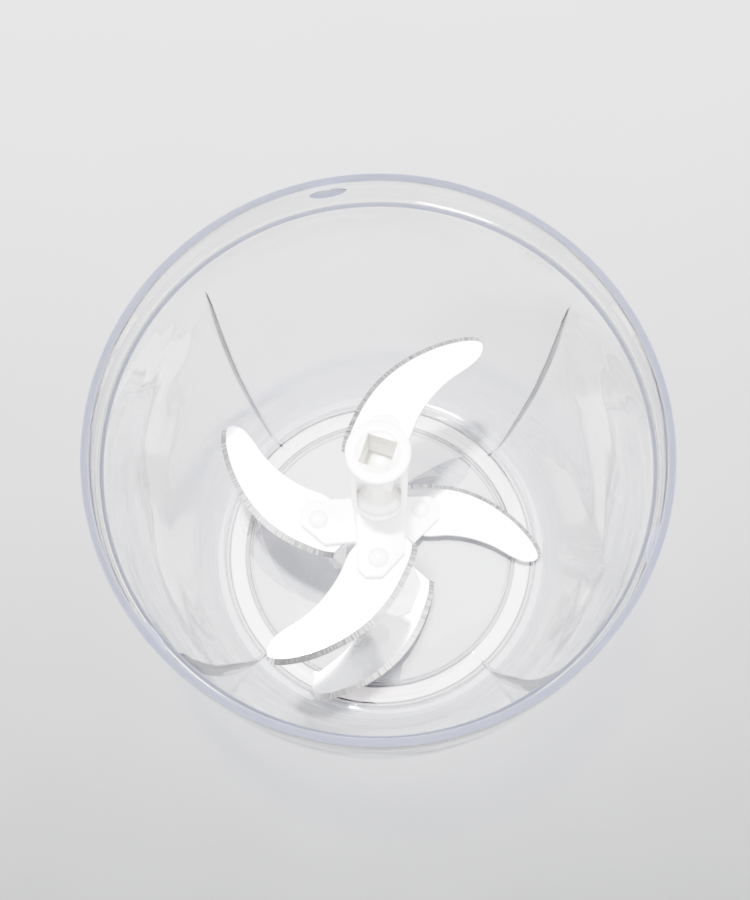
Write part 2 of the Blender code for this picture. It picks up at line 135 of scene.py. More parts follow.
# the flared core behind the windows: its radius at the top, and (radius, height) points down from there
CORE_TOP_RADIUS = 0.0026
CORE_PROFILE = [(0.0028, 0.0840), (0.0034, 0.0740), (0.0045, 0.0690), (0.0059, 0.0663)]
CORE_STATIONS = 17
# the square socket, its wall, and the cone that opens its mouth
SOCKET_SIDE = 0.0065
SOCKET_WALL = 0.0008
SOCKET_DEPTH = 0.0130
SOCKET_ANGLE = math.radians(-19.5)
SOCKET_MOUTH = 0.0047
SOCKET_MOUTH_HALF = 0.0006

# Blades, carriers and studs
BEVEL_WIDTH = 0.0014
EDGE_LAND = 0.0002
BACK_CHAMFER = 0.00012
# the bevel at the tip as a share of its full width, and its growth by a full width over a share of the blade
TIP_BEVEL_SHARE = 0.35
TIP_BEVEL_RUN = 0.15
BLADE_STATIONS = 81
# how far each blade is turned from the direction of its arm
SWEEPS = {"1": math.radians(-47.0), "2": math.radians(-49.5), "3": math.radians(-66.5),
          "4": math.radians(-48.5), "5": math.radians(-64.5)}
# a blade's two long sides as (outward, sideways) points from its stud
GROUND_SIDE = [(-0.0080, 0.0022), (-0.0050, 0.0044), (0.0020, 0.0074), (0.0090, 0.0088), (0.0160, 0.0085),
               (0.0230, 0.0067), (0.0285, 0.0041), (0.0314, 0.0019), (0.0325, 0.0004)]
BACK_SIDE = [(-0.0079, -0.0026), (-0.0020, -0.0056), (0.0034, -0.0056), (0.0090, -0.0031), (0.0145, -0.0016),
             (0.0205, -0.0012), (0.0262, -0.0019), (0.0296, -0.0019), (0.0318, -0.0009)]
CARRIERS = {"upper_carrier": ("1", "4"), "middle_carrier": ("2",), "lower_carrier": ("5",),
            "bottom_carrier": ("3",)}
CARRIER_OUTER = 0.0063
ARM_THICKNESS = 0.0018
ARM_EDGE_BEVEL = 0.00035
# an arm's outline as (outward from the axis, sideways, corner radius)
ARM_OUTLINE = [(0.0, 0.0054, 0.0), (0.0132, 0.0060, 0.0010), (0.0188, 0.0009, 0.0009),
               (0.0189, -0.0028, 0.0010), (0.0170, -0.0048, 0.0012), (0.0, -0.0052, 0.0)]
# a stud's dome, the flare at its foot and the share of its height that the foot takes, and what is below it
DOME_RADIUS = 0.00215
DOME_FLARE = 0.0003
DOME_FOOT = 0.22
SHANK_RADIUS = 0.0017
TAIL_RADIUS = 0.0026


# ---------------------------------------------------------------- curves and meshes
def rounded(points, closed, steps=6):
    """Replace each corner (x, y, radius) by a short arc and return plain (x, y) points."""
    result = []
    count = len(points)
    for index, (x, y, radius) in enumerate(points):
        inner = closed or 0 < index < count - 1
        if radius <= 0.0 or not inner:
            result.append((x, y))
            continue
        corner = Vector((x, y))
        before = Vector(points[index - 1][:2]) - corner
        after = Vector(points[(index + 1) % count][:2]) - corner
        half = before.angle(after) / 2.0
        reach = min(radius / math.tan(half), before.length * 0.49, after.length * 0.49)
        start = corner + before.normalized() * reach
        end = corner + after.normalized() * reach
        for step in range(steps + 1):
            t = step / steps
            blend = start.lerp(corner, t).lerp(corner.lerp(end, t), t)
            result.append((blend.x, blend.y))
    return result


def sample_curve(points, count):
    """Points spaced evenly in parameter along a smooth curve through the given (x, y) points."""
    result = []
    last = len(points) - 1
    for index in range(count):
        position = index * last / (count - 1)
        segment = min(int(position), last - 1)
        t = position - segment
        p0 = Vector(points[max(segment - 1, 0)])
        p1 = Vector(points[segment])
        p2 = Vector(points[segment + 1])
        p3 = Vector(points[min(segment + 2, last)])
        value = p1 * 2.0
        value += (p2 - p0) * t
        value += (p0 * 2.0 - p1 * 5.0 + p2 * 4.0 - p3) * t ** 2
        value += (p1 * 3.0 - p0 - p2 * 3.0 + p3) * t ** 3
        result.append(value * 0.5)
    return result


def interpolate(table, x):
    """Straight-line interpolation in a table of (x, value) pairs, held level beyond its ends."""
    if x <= table[0][0]:
        return table[0][1]
    for (x0, y0), (x1, y1) in zip(table, table[1:]):
        if x <= x1:
            return y0 + (y1 - y0) * (x - x0) / (x1 - x0)
    return table[-1][1]


def add_piece(name, bm, angle=SHARP_ANGLE):
    """Close off a bmesh as a smooth-shaded object whose hard edges stay sharp."""
    bmesh.ops.recalc_face_normals(bm, faces=bm.faces)
    mesh = bpy.data.meshes.new(name)
    bm.to_mesh(mesh)
    bm.free()
    mesh.shade_smooth()
    mesh.set_sharp_from_angle(angle=math.radians(angle))
    piece = bpy.data.objects.new(name, mesh)
    bpy.context.scene.collection.objects.link(piece)
    return piece


def lathe(name, profile, closed, steps):
    """Turn (radius, z) points about Z. A closed profile joins its last point to its first."""
    bm = bmesh.new()
    rings = []
    for radius, z in profile:
        if radius < 0.000001:
            rings.append([bm.verts.new((0.0, 0.0, z))] * steps)
            continue
        ring = []
        for step in range(steps):
            turn = math.tau * step / steps
            ring.append(bm.verts.new((radius * math.cos(turn), radius * math.sin(turn), z)))
        rings.append(ring)
    pairs = list(zip(rings, rings[1:]))
    if closed:
        pairs.append((rings[-1], rings[0]))
    for first, second in pairs:
        for step in range(steps):
            following = (step + 1) % steps
            corners = [first[step], first[following], second[following], second[step]]
            unique = list(dict.fromkeys(corners))
            if len(unique) > 2:
                bm.faces.new(unique)
    return add_piece(name, bm)


def block(name, size, centre, angle=0.0):
    """A box, turned about Z by an angle in radians."""
    bm = bmesh.new()
    bmesh.ops.create_cube(bm, size=1.0)
    bmesh.ops.scale(bm, verts=bm.verts, vec=size)
    bmesh.ops.rotate(bm, verts=bm.verts, matrix=Matrix.Rotation(angle, 3, "Z"))
    bmesh.ops.translate(bm, verts=bm.verts, vec=centre)
    return add_piece(name, bm)


def add_boolean(piece, operation, other):
    modifier = piece.modifiers.new(other.name, "BOOLEAN")
    modifier.operation = operation
    modifier.object = other


def add_bevel(piece, width, segments, angle):
    modifier = piece.modifiers.new("soft_edges", "BEVEL")
    modifier.width = width
    modifier.segments = segments
    modifier.limit_method = "ANGLE"
    modifier.angle_limit = math.radians(angle)


def settle(piece, forms=()):
    """Apply a piece's modifiers and remove the forms that it was joined to or cut with."""
    view = bpy.context.evaluated_depsgraph_get()
    mesh = bpy.data.meshes.new_from_object(piece.evaluated_get(view))
    mesh.name = piece.name
    piece.modifiers.clear()
    piece.data = mesh
    mesh.shade_smooth()
    mesh.set_sharp_from_angle(angle=math.radians(SHARP_ANGLE))
    for form in forms:
        bpy.data.objects.remove(form, do_unlink=True)


def finish_piece(piece, body, slot, material, *replaced):
    """Give a piece its material, and say what it rides on and stands for. Its finish slot is not used."""
    if piece.data.materials:
        piece.data.materials.clear()
    piece.data.materials.append(material)
    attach(piece, body)
    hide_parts(*replaced)


# ---------------------------------------------------------------- bowl
def bead(radius):
    """A low round-topped ridge moulded round the bowl's floor."""
    half = BEAD_HALF_WIDTH
    top = FLOOR + BEAD_HEIGHT
    return [
        (radius - half, FLOOR, 0.00008),
        (radius - half / 3, top, 0.0001),
        (radius + half / 3, top, 0.0001),
        (radius + half, FLOOR, 0.00008),
    ]


def bowl_stations():
    """The bowl's section as (point, where the same point lies on a rib's crest)."""
    pin_hole = PIN_HIGH.x + GAP
    hole_bottom = PIN_LOW.z - GAP
    groove_in = SEAL_INNER - GAP
    groove_out = SEAL_HIGH.x + GAP
    groove_top = SEAL_HIGH.z + GAP
    wall = [tuple(point) for point in sample_curve(INNER_WALL, WALL_STATIONS)]
    lug_middle = LUG_RINGS // 2

    corners = [(0.0, hole_bottom, 0.0), (pin_hole, hole_bottom, 0.0), (pin_hole, FLOOR, 0.0002)]
    corners += [(ring, FLOOR, 0.0) for ring in FLOOR_RINGS]
    corners += bead(BEADS[0]) + [(RIB_START, FLOOR, 0.0)] + bead(BEADS[1])
    corners.append((FLOOR_RADIUS, FLOOR, FLOOR_CORNER))
    corners += [(*point, 0.0) for point in wall]
    corners += [(LEDGE_RADIUS, ring, 0.0) for ring in NECK_RINGS]
    corners += [(LEDGE_RADIUS, LEDGE_HEIGHT, 0.0005), (RIM_INNER, LEDGE_HEIGHT, 0.0004)]
    for ring in range(LUG_RINGS):
        corners.append((RIM_INNER, LUG_HEIGHT + LUG_RING_STEP * (ring - lug_middle), 0.0))
    corners += [(RIM_INNER, RIM_HEIGHT, 0.0005), (RIM_RADIUS, RIM_HEIGHT, 0.0006)]
    corners.append((RIM_RADIUS, COLLAR_BOTTOM, 0.0007))
    corners.append((LEDGE_RADIUS + WALL, COLLAR_BOTTOM - COLLAR_SLOPE, 0.0010))
    corners += [(radius + WALL, z, 0.0) for radius, z in reversed(wall)]
    corners += [(*HEEL, 0.0018), (FOOT_RADIUS, FOOT, 0.0005), (groove_out + GAP, FOOT, 0.0)]
    corners += [(groove_out, FOOT + GAP, 0.0), (groove_out, groove_top, 0.0002)]
    corners += [(groove_in, groove_top, 0.0002), (groove_in, FOOT, 0.0002)]
    corners.append((groove_in - FOOT_WIDTH, FOOT, 0.0003))
    corners.append((groove_in - FOOT_WIDTH - UNDERSIDE_SLOPE, UNDERSIDE, 0.0003))
    corners.append((BOSS_RADIUS + UNDERSIDE_SLOPE, UNDERSIDE, 0.0003))
    corners += [(BOSS_RADIUS, FOOT, 0.0003), (0.0, FOOT, 0.0)]
    points = rounded(corners, closed=False)

    corner_height = INNER_WALL[0][1]
    crest_start = Vector((RIB_START, FLOOR))
    crest_corner = Vector((INNER_WALL[0][0] - RIB_DEPTH[0][1], corner_height))
    stations = []
    inside = True
    for radius, z in points:
        if radius > LEDGE_RADIUS + 0.0001:
            inside = False
        crest = (radius, z)
        if inside and radius > RIB_START and z < corner_height:
            run = (radius - RIB_START) + (z - FLOOR)
            whole = (INNER_WALL[0][0] - RIB_START) + (corner_height - FLOOR)
            crest = tuple(crest_start.lerp(crest_corner, run / whole))
        elif inside and radius > RIB_START and z < RIB_DEPTH[-1][0]:
            crest = (radius - interpolate(RIB_DEPTH, z), z)
        stations.append(((radius, z), crest))
    return stations


def bowl_columns():
    """Directions round the bowl, closer together at the lugs, as (azimuth, offset, height on a rib)."""
    plain = [index * COLUMN_STEP for index in range(round(math.tau / COLUMN_STEP))]
    for azimuth in LUG_AZIMUTHS:
        for step in range(LUG_COLUMNS):
            plain.append(azimuth + math.radians(LUG_COLUMN_DEGREES * (step - LUG_COLUMNS // 2)))
    columns = []
    for azimuth in plain:
        turn = azimuth % math.tau
        nearest = min(abs((turn - rib + math.pi) % math.tau - math.pi) for rib in RIB_AZIMUTHS)
        if nearest > RIB_CLEARANCE:
            columns.append((turn, 0.0, 0.0))
    for rib in RIB_AZIMUTHS:
        columns += [(rib, offset, share) for offset, share in RIB_SECTION]
    columns.sort(key=lambda column: column[0] + column[1] / RIM_RADIUS)
    kept = columns[:1]
    for column in columns[1:]:
        apart = column[0] + column[1] / RIM_RADIUS - kept[-1][0] - kept[-1][1] / RIM_RADIUS
        if column[1] or kept[-1][1] or apart > NEAREST_COLUMNS:
            kept.append(column)
    return kept


def lug_depth(turn, z):
    """How far a lug stands in from the rim's wall at a direction and height."""
    apart = min(abs((turn - azimuth + math.pi) % math.tau - math.pi) for azimuth in LUG_AZIMUTHS)
    across = apart * RIM_RADIUS
    left = 1.0 - (across / LUG_HALF[0]) ** 2 - ((z - LUG_HEIGHT) / LUG_HALF[1]) ** 2
    return LUG_DEPTH * left ** LUG_ROUNDNESS if left > 0.0 else 0.0


def make_bowl(material):
    """The bowl as one skin whose inner face swells into the ribs and lugs."""
    stations = bowl_stations()
    bm = bmesh.new()
    lines = []
    for azimuth, offset, share in bowl_columns():
        line = []
        for (radius, z), crest in stations:
            here = Vector((radius, z)).lerp(Vector(crest), share)
            slim = interpolate(RIB_SLIMMING, z)
            turn = azimuth + offset * slim / max(here.x, 0.030)
            if abs(radius - RIM_INNER) < 0.00001:
                here.x -= lug_depth(turn, z)
            line.append(bm.verts.new((here.x * math.cos(turn), here.x * math.sin(turn), here.y)))
        lines.append(line)
    for first, second in zip(lines, lines[1:] + lines[:1]):
        for index in range(len(stations) - 1):
            bm.faces.new((first[index], second[index], second[index + 1], first[index + 1]))
    bmesh.ops.remove_doubles(bm, verts=bm.verts, dist=0.0000005)
    piece = add_piece("bowl_shell", bm, 50.0)
    finish_piece(piece, "bowl_body", "clear_plastic", material, "bowl")


def make_seal(material):
    """The non-slip ring, with rounded shoulders and a shallow channel in its underside."""
    inner = SEAL_INNER
    outer = SEAL_HIGH.x
    middle = (inner + outer) / 2
    low = SEAL_LOW.z
    high = SEAL_HIGH.z
    roof = low + CHANNEL_DEPTH
    at_top, at_bottom = CHANNEL_HALF_WIDTHS
    corners = [(inner, high, 0.0002), (outer, high, 0.0002), (outer, low, 0.0004)]
    corners += [(middle + at_bottom, low, 0.0002), (middle + at_top, roof, 0.0001)]
    corners += [(middle - at_top, roof, 0.0001), (middle - at_bottom, low, 0.0002), (inner, low, 0.0004)]
    piece = lathe("seal_ring", rounded(corners, closed=True, steps=4), closed=True, steps=160)
    finish_piece(piece, "bowl_body", "silicone", material, "non_slip_ring")


def make_pin(material):
    """The steel pin with a rounded tip."""
    radius = PIN_HIGH.x
    corners = [(0.0, PIN_HIGH.z, 0.0), (radius, PIN_HIGH.z, PIN_TIP_ROUND), (radius, PIN_LOW.z, 0.0003)]
    corners.append((0.0, PIN_LOW.z, 0.0))
    piece = lathe("steel_pin", rounded(corners, closed=False), closed=False, steps=64)
    finish_piece(piece, "bowl_body", "steel", material, "pivot_pin")


def make_bush(material):
    """The closed bearing sleeve that rests on the pin's tip."""
    low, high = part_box("hub_bush")
    outer = high.x
    inner = PIN_HIGH.x + GAP
    inside_top = PIN_HIGH.z + GAP
    corners = [(0.0, high.z, 0.0), (outer, high.z, 0.0006), (outer, low.z, 0.0002), (inner, low.z, 0.0002)]
    corners += [(inner, inside_top, 0.0002), (0.0, inside_top, 0.0)]
    piece = lathe("bearing_sleeve", rounded(corners, closed=False), closed=False, steps=64)
    finish_piece(piece, "bearing", "bearing_plastic", material, "hub_bush")


# ---------------------------------------------------------------- cutting unit
def make_column(material):
    """The hub: a bored column, a flat head, a window at front and back, and the square socket."""
    top = COLUMN_HIGH.z
    bore_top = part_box("hub_bush")[1].z + GAP
    head_radius = COLUMN_HIGH.x
    head_bottom = top - HEAD_THICKNESS
    corners = [(0.0, top, 0.0), (head_radius, top, 0.0007), (head_radius, head_bottom, 0.0003)]
    corners += [(SHOULDER_RADIUS, head_bottom, 0.0), (SHOULDER_RADIUS, SHOULDER_BOTTOM, 0.0)]
    corners += [(COLUMN_RADIUS, SHOULDER_BOTTOM, 0.0), (COLUMN_RADIUS, COLUMN_LOW.z, 0.0003)]
    corners += [(BORE_RADIUS, COLUMN_LOW.z, 0.0002), (BORE_RADIUS, bore_top, 0.0), (0.0, bore_top, 0.0)]
    column = lathe("hub_tower", rounded(corners, closed=False, steps=4), closed=False, steps=HUB_STEPS)

    window_top = head_bottom + FORM_OVERLAP
    window_depth = head_radius + CUT_MARGIN
    forms = []
    for side in (-1, 1):
        size = (2 * WINDOW_HALF_WIDTH, window_depth, window_top - WINDOW_BOTTOM)
        centre = (0.0, side * (WEB_THICKNESS + window_depth) / 2, (window_top + WINDOW_BOTTOM) / 2)
        cut = block(f"window_{side}", size, centre)
        add_boolean(column, "DIFFERENCE", cut)
        forms.append(cut)
    core_top = window_top + FORM_OVERLAP
    flare = sample_curve([(CORE_TOP_RADIUS, core_top)] + CORE_PROFILE, CORE_STATIONS)
    outline = [(0.0, core_top)] + [tuple(point) for point in flare] + [(0.0, flare[-1].y)]
    core = lathe("core_form", outline, closed=False, steps=HUB_STEPS)
    add_boolean(column, "UNION", core)
    housing_side = SOCKET_SIDE + 2 * SOCKET_WALL
    housing_top = core_top + FORM_OVERLAP
    housing_bottom = top - SOCKET_DEPTH - SOCKET_WALL
    size = (housing_side, housing_side, housing_top - housing_bottom)
    centre = (0.0, 0.0, (housing_top + housing_bottom) / 2)
    housing = block("housing_form", size, centre, SOCKET_ANGLE)
    add_boolean(column, "UNION", housing)
    cut_height = SOCKET_DEPTH + CUT_MARGIN
    size = (SOCKET_SIDE, SOCKET_SIDE, cut_height)
    centre = (0.0, 0.0, top - SOCKET_DEPTH + cut_height / 2)
    socket = block("socket_cut", size, centre, SOCKET_ANGLE)
    add_boolean(column, "DIFFERENCE", socket)
    half = SOCKET_MOUTH_HALF
    cone = [(0.0, top + half), (SOCKET_MOUTH + half, top + half)]
    cone += [(SOCKET_MOUTH - half, top - half), (0.0, top - half)]
    mouth = lathe("mouth_cut", cone, closed=False, steps=HUB_STEPS)
    add_boolean(column, "DIFFERENCE", mouth)
    add_bevel(column, width=HUB_EDGE_BEVEL, segments=2, angle=40.0)
    settle(column, forms + [core, housing, socket, mouth])
    finish_piece(column, "blade_unit", "white_plastic", material, "hub_column")


def stud_of(name):
    """Middle of a blade's stud, and the direction in which its arm points."""
    low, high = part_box(f"blade_stud_{name}")
    middle = (low + high) / 2
    return middle, math.atan2(middle.y, middle.x)


def make_arm(name, azimuth, bottom, top):
    """A flat arm whose edges are rounded over."""
    turn = Matrix.Rotation(azimuth, 2)
    outline = [turn @ Vector(point) for point in rounded(ARM_OUTLINE, closed=True)]
    bm = bmesh.new()
    lower = bm.faces.new([bm.verts.new((point.x, point.y, bottom)) for point in outline])
    result = bmesh.ops.extrude_face_region(bm, geom=[lower])
    moved = [part for part in result["geom"] if isinstance(part, bmesh.types.BMVert)]
    bmesh.ops.translate(bm, verts=moved, vec=(0.0, 0.0, top - bottom))
    arm = add_piece(name, bm)
    add_bevel(arm, width=ARM_EDGE_BEVEL, segments=3, angle=60.0)
    settle(arm)
    return arm


def make_carrier(name, material):
    """A sleeve round the column with an arm over each of its blades."""
    low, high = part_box(name)
    inner = COLUMN_RADIUS + GAP
    corners = [(inner, high.z, 0.0), (CARRIER_OUTER, high.z, 0.0004), (CARRIER_OUTER, low.z, 0.0004)]
    corners.append((inner, low.z, 0.0))
    carrier = lathe(f"{name}_moulding", rounded(corners, closed=True, steps=4), closed=True, steps=HUB_STEPS)
    arms = []
    for blade in CARRIERS[name]:
        arm = make_arm(f"arm_form_{blade}", stud_of(blade)[1], high.z - ARM_THICKNESS, high.z)
        add_boolean(carrier, "UNION", arm)
        arms.append(arm)
    top = high.z + CUT_MARGIN
    bottom = low.z - CUT_MARGIN
    profile = [(0.0, top), (inner, top), (inner, bottom), (0.0, bottom)]
    bore = lathe("bore_form", profile, closed=False, steps=HUB_STEPS)
    add_boolean(carrier, "DIFFERENCE", bore)
    settle(carrier, arms + [bore])
    finish_piece(carrier, "blade_unit", "white_plastic", material, name)


def make_spacer(name, material):
    """A plain sleeve between two carriers."""
    low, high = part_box(name)
    inner = COLUMN_RADIUS + GAP
    outer = high.x
    corners = [(inner, high.z, 0.0), (outer, high.z, 0.00015), (outer, low.z, 0.00015), (inner, low.z, 0.0)]
    piece = lathe(f"{name}_sleeve", rounded(corners, closed=True, steps=2), closed=True, steps=HUB_STEPS)
    finish_piece(piece, "blade_unit", "white_plastic", material, name)


def make_blade(name, polished, ground_steel):
    """A swept blade with a ground cutting edge. Its UVs run along the edge and across it, in metres."""
    low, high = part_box(f"blade_{name}")
    thickness = high.z - low.z
    middle, azimuth = stud_of(name)
    ground = sample_curve(GROUND_SIDE, BLADE_STATIONS)
    back = sample_curve(BACK_SIDE, BLADE_STATIONS)
    edge = []
    length = [0.0]
    for index, point in enumerate(ground):
        before = ground[max(index - 1, 0)]
        after = ground[min(index + 1, BLADE_STATIONS - 1)]
        along = (after - before).normalized()
        fade = min(1.0, TIP_BEVEL_SHARE + (BLADE_STATIONS - 1 - index) / (BLADE_STATIONS * TIP_BEVEL_RUN))
        edge.append(point + Vector((-along.y, along.x)) * BEVEL_WIDTH * fade)
        if index:
            length.append(length[-1] + (point - before).length)
    inset = [point.lerp(other, BACK_CHAMFER / (other - point).length) for point, other in zip(back, ground)]

    place = Matrix.Translation((middle.x, middle.y, high.z)) @ Matrix.Rotation(azimuth + SWEEPS[name], 4, "Z")
    bm = bmesh.new()
    layer = bm.loops.layers.uv.new("along_edge")
    rows = [(inset, 0.0), (ground, 0.0), (edge, EDGE_LAND - thickness), (edge, -thickness),
            (inset, -thickness), (back, BACK_CHAMFER - thickness), (back, -BACK_CHAMFER)]
    verts = [[bm.verts.new(place @ Vector((point.x, point.y, z))) for point in line] for line, z in rows]
    for index, (first, second) in enumerate(zip(verts, verts[1:] + verts[:1])):
        for station in range(BLADE_STATIONS - 1):
            corners = (first[station], first[station + 1], second[station + 1], second[station])
            face = bm.faces.new(corners)
            face.material_index = 1 if index in (1, 2) else 0
            places = ((station, 0.0), (station + 1, 0.0), (station + 1, 1.0), (station, 1.0))
            for loop, (step, across) in zip(face.loops, places):
                loop[layer].uv = (length[step], (index + across) * BEVEL_WIDTH)
    bm.faces.new([row[0] for row in verts])
    bm.faces.new([row[-1] for row in reversed(verts)])
    piece = add_piece(f"blade_{name}_ground", bm, 20.0)
    finish_piece(piece, "blade_unit", "steel", polished, f"blade_{name}")
    piece.data.materials.append(ground_steel)


def make_stud(name, material):
    """A stud with a domed head that flares onto the arm, and a flat tail below the blade."""
    low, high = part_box(f"blade_stud_{name}")
    middle = stud_of(name)[0]
    blade_low, blade_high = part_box(f"blade_{name}")
    arm_top = blade_high.z + GAP + ARM_THICKNESS
    height = high.z - arm_top
    foot = height * DOME_FOOT
    profile = [(0.0, high.z)]
    for step in range(1, 13):
        turn = math.pi / 2 * (1 - step / 12)
        profile.append((DOME_RADIUS * math.cos(turn), arm_top + foot + (height - foot) * math.sin(turn)))
    for step in range(1, 7):
        turn = math.pi / 2 * step / 6
        radius = DOME_RADIUS + DOME_FLARE * (1 - math.cos(turn))
        profile.append((radius, arm_top + foot * (1 - math.sin(turn))))
    tail_top = blade_low.z - GAP
    profile += [(SHANK_RADIUS, arm_top - 0.0002), (SHANK_RADIUS, tail_top), (TAIL_RADIUS, tail_top)]
    profile += [(TAIL_RADIUS, low.z + 0.0001), (TAIL_RADIUS - 0.0001, low.z), (0.0, low.z)]
    piece = lathe(f"stud_{name}_domed", profile, closed=False, steps=48)
    piece.data.transform(Matrix.Translation((middle.x, middle.y, 0.0)))
    finish_piece(piece, "blade_unit", "white_plastic", material, f"blade_stud_{name}")


# ---------------------------------------------------------------- materials
class Graph:
    """Short calls for adding and linking shader nodes."""

    def __init__(self, name):
        self.material = bpy.data.materials.new(name)
        self.material.use_nodes = True
        self.tree = self.material.node_tree
        self.shader = self.tree.nodes["Principled BSDF"]
        self.output = self.tree.nodes["Material Output"]
        self.coords = self.add("ShaderNodeTexCoord").outputs["Object"]

    def add(self, kind, **inputs):
        node = self.tree.nodes.new(kind)
        for name, value in inputs.items():
            socket = node.inputs[name.replace("_", " ")]
            if isinstance(value, bpy.types.NodeSocket):
                self.tree.links.new(value, socket)
            else:
                socket.default_value = value
        return node

    def link(self, source, target):
        self.tree.links.new(source, target)

    def noise(self, scale, detail=2.0, vector=None):
        node = self.add("ShaderNodeTexNoise", Scale=scale, Detail=detail)
        self.link(vector or self.coords, node.inputs["Vector"])
        return node.outputs["Fac"]

    def stretched(self, vector, scale):
        """Coordinates scaled by a different amount along each axis."""
        return self.add("ShaderNodeMapping", Vector=vector, Scale=scale).outputs["Vector"]

    def spread(self, value, low, high, start=0.25, end=0.75):
        """Map a value from start..end to low..high."""
        node = self.add("ShaderNodeMapRange", Value=value)
        node.inputs["From Min"].default_value = start
        node.inputs["From Max"].default_value = end
        node.inputs["To Min"].default_value = low
        node.inputs["To Max"].default_value = high
        return node.outputs["Result"]

    def mix(self, factor, first, second):
        """Blend two colours, each a plain (r, g, b) or another node's output."""
        node = self.tree.nodes.new("ShaderNodeMix")
        node.data_type = "RGBA"
        self.link(factor, node.inputs[0])
        for socket, colour in ((node.inputs[6], first), (node.inputs[7], second)):
            if isinstance(colour, bpy.types.NodeSocket):
                self.link(colour, socket)
            else:
                socket.default_value = (*colour, 1.0)
        return node.outputs[2]

    def math(self, operation, *values):
        node = self.tree.nodes.new("ShaderNodeMath")
        node.operation = operation
        for socket, value in zip(node.inputs, values):
            if isinstance(value, bpy.types.NodeSocket):
                self.link(value, socket)
            else:
                socket.default_value = value
        return node.outputs["Value"]

    def height(self):
        return self.add("ShaderNodeSeparateXYZ", Vector=self.coords).outputs["Z"]

    def radius(self):
        """Distance from the object's vertical axis."""
        node = self.tree.nodes.new("ShaderNodeVectorMath")
        node.operation = "LENGTH"
        self.link(self.stretched(self.coords, (1.0, 1.0, 0.0)), node.inputs[0])
        return node.outputs["Value"]

    def near(self, value, middle, reach):
        """1 where a value is close to a middle, falling to 0 at the reach."""
        apart = self.math("ABSOLUTE", self.math("SUBTRACT", value, middle))
        return self.spread(apart, 1.0, 0.0, reach / 2, reach)

    def bump(self, height, strength, distance):
        node = self.add("ShaderNodeBump", Strength=strength, Distance=distance, Height=height)
        self.link(node.outputs["Normal"], self.shader.inputs["Normal"])

    def set(self, **values):
        for name, value in values.items():
            self.shader.inputs[name.replace("_", " ")].default_value = value


def clear_plastic():
    """Clear polished plastic with faint moulding waves. The dark lavender at the rim, the ledge and the lugs
    is painted shade, standing in for the tint that the clear plastic shows along its depth; the dark lines
    beside the ring are painted shade too.
    """
    graph = Graph("clear_plastic")
    graph.set(IOR=1.56, Transmission_Weight=1.0)
    height = graph.height()
    radius = graph.radius()
    # painted shade: a dark lavender band, also made rough, at the rim, the ledge corner and the lugs
    rim = graph.spread(height, 0.0, 1.0, RIM_HEIGHT - 0.0010, RIM_HEIGHT - 0.0004)
    at_ledge_height = graph.near(height, LEDGE_HEIGHT, 0.0010)
    at_ledge_corner = graph.near(radius, LEDGE_RADIUS + 0.0003, 0.0008)
    ledge = graph.math("MULTIPLY", at_ledge_height, at_ledge_corner)
    above_ledge = graph.spread(height, 0.0, 1.0, LEDGE_HEIGHT + 0.0015, LEDGE_HEIGHT + 0.0025)
    proud_of_wall = graph.spread(radius, 1.0, 0.0, RIM_INNER - 0.00022, RIM_INNER - 0.00004)
    lugs = graph.math("MULTIPLY", above_ledge, proud_of_wall)
    edge = graph.math("MAXIMUM", graph.math("MAXIMUM", rim, ledge), lugs)
    # painted shade: dark lines on the clear floor at the groove edges and the ridges beside the ring
    lines = graph.near(radius, RING_SHADE_LINES[0], LINE_REACH)
    for line in RING_SHADE_LINES[1:]:
        lines = graph.math("MAXIMUM", lines, graph.near(radius, line, LINE_REACH))
    in_floor = graph.spread(height, 1.0, 0.0, FLOOR + 0.0003, FLOOR + 0.0006)
    lines = graph.math("MULTIPLY", lines, in_floor)
    above_base = graph.spread(height, 0.0, 1.0, 0.003, 0.012)
    body = graph.mix(above_base, (0.968, 0.972, 0.990), (0.985, 0.984, 0.978))
    body = graph.mix(lines, body, (0.36, 0.35, 0.36))
    # the dark lavender mixed in here is painted shade at the rim, the ledge and the lugs
    graph.link(graph.mix(edge, body, (0.19, 0.205, 0.40)), graph.shader.inputs["Base Color"])
    haze = graph.spread(graph.noise(60.0), 0.0, 0.03)
    graph.link(graph.math("ADD", haze, graph.math("MULTIPLY", edge, 0.92)), graph.shader.inputs["Roughness"])
    graph.bump(graph.noise(70.0, 1.0), 0.25, 0.0004)
    volume = graph.add("ShaderNodeVolumeAbsorption")
    volume.inputs["Color"].default_value = (0.60, 0.62, 0.85, 1.0)
    volume.inputs["Density"].default_value = 26.0
    graph.link(volume.outputs["Volume"], graph.output.inputs["Volume"])
    path = graph.add("ShaderNodeLightPath")
    through = graph.add("ShaderNodeBsdfTransparent")
    through.inputs["Color"].default_value = (0.972, 0.972, 0.975, 1.0)
    choose = graph.tree.nodes.new("ShaderNodeMixShader")
    graph.link(path.outputs["Is Shadow Ray"], choose.inputs[0])
    graph.link(graph.shader.outputs["BSDF"], choose.inputs[1])
    graph.link(through.outputs["BSDF"], choose.inputs[2])
    graph.link(choose.outputs["Shader"], graph.output.inputs["Surface"])
    return graph.material


